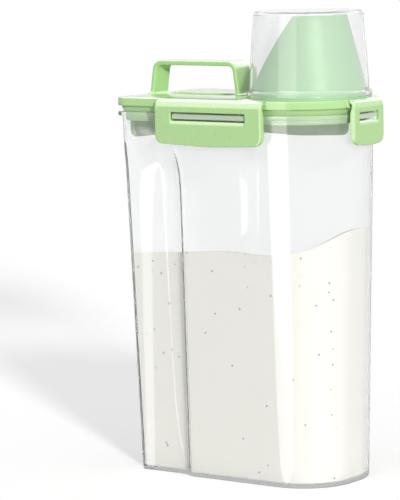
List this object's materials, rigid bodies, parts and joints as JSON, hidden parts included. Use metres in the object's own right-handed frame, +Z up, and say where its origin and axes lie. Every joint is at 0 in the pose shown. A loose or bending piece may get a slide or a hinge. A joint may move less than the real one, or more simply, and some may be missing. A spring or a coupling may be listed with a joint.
{
  "type": "laundry powder container",
  "caption": "Tall clear tub of laundry powder with a green clip-on lid, loop handle, slanted pouring spout and a clear measuring cup standing over the spout",
  "frame": {"origin": "middle of the base, on the surface it stands on", "axes": "+Z up, +X from the grip end to the spout end, -Y out of the front long side"},
  "size_m": [0.1586, 0.0986, 0.2789],
  "materials": {
    "clear_tub": "clear, polished",
    "powder": "fine loose powder",
    "green_lid": "smooth, satin gloss",
    "seal": "soft, translucent",
    "green_spout": "smooth, slightly translucent",
    "clear_cup": "clear, polished",
    "green_latch": "smooth, satin gloss"
  },
  "bodies": {
    "container": {"tub": "clear_tub", "powder": "powder", "lid": "green_lid", "lid_seal": "seal", "spout": "green_spout"},
    "cup": {"measuring_cup": "clear_cup"},
    "front_latch": {"latch_front": "green_latch"},
    "back_latch": {"latch_back": "green_latch"},
    "spout_end_latch": {"latch_spout_end": "green_latch"},
    "grip_end_latch": {"latch_grip_end": "green_latch"}
  },
  "joints": [
    {"name": "cup_lift", "type": "slide", "parent": "container", "child": "cup", "axis": [0, 0, 1], "range_m": [0, 0.06]},
    {"name": "front_latch_hinge", "type": "hinge", "parent": "container", "child": "front_latch", "pos_m": [-0.002, -0.0455, 0.22725], "axis": [-1, 0, 0], "range_deg": [0, 100]},
    {"name": "back_latch_hinge", "type": "hinge", "parent": "container", "child": "back_latch", "pos_m": [-0.002, 0.0455, 0.22725], "axis": [1, 0, 0], "range_deg": [0, 100]},
    {"name": "spout_end_latch_hinge", "type": "hinge", "parent": "container", "child": "spout_end_latch", "pos_m": [0.0755, 0, 0.22725], "axis": [0, -1, 0], "range_deg": [0, 100]},
    {"name": "grip_end_latch_hinge", "type": "hinge", "parent": "container", "child": "grip_end_latch", "pos_m": [-0.0755, 0, 0.22725], "axis": [0, 1, 0], "range_deg": [0, 100]}
  ]
}
